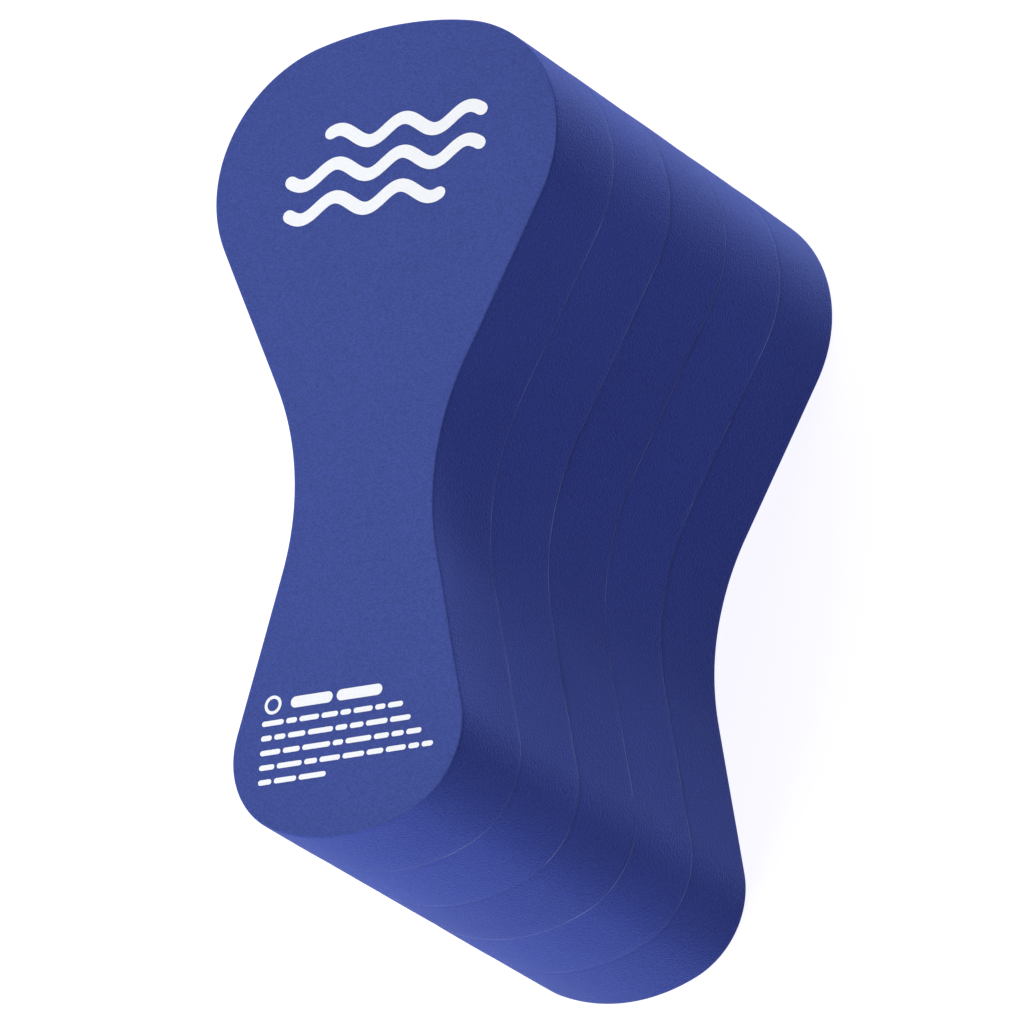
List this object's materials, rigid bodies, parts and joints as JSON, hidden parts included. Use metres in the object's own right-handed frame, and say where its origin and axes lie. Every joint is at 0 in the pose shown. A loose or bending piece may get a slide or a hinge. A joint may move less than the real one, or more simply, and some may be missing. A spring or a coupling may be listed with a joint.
{
  "type": "pull buoy",
  "caption": "Hourglass-shaped foam leg float for swim training: bonded closed-cell foam sheets with two rounded lobes, a narrow waist held between the thighs, and a printed front face.",
  "frame": {"origin": "middle of the plain end face that the block lies on (middle of the bounding box, at its bottom)", "axes": "+Z through the stack of sheets to the printed front face, +Y towards the large lobe, +X across the block"},
  "size_m": [0.11, 0.236, 0.15],
  "materials": {
    "foam": "matte",
    "glue": "satin",
    "ink": "satin"
  },
  "bodies": {
    "root": {"rear_foam_sheet": "foam", "rear_inner_foam_sheet": "foam", "centre_foam_sheet": "foam", "front_inner_foam_sheet": "foam", "front_foam_sheet": "foam", "rear_glue_film": "glue", "rear_inner_glue_film": "glue", "front_inner_glue_film": "glue", "front_glue_film": "glue", "upper_wave_print": "ink", "middle_wave_print": "ink", "lower_wave_print": "ink", "notice_ring_print": "ink", "notice_heading_print": "ink", "notice_line_1_print": "ink", "notice_line_2_print": "ink", "notice_line_3_print": "ink", "notice_line_4_print": "ink", "notice_line_5_print": "ink"}
  },
  "joints": []
}
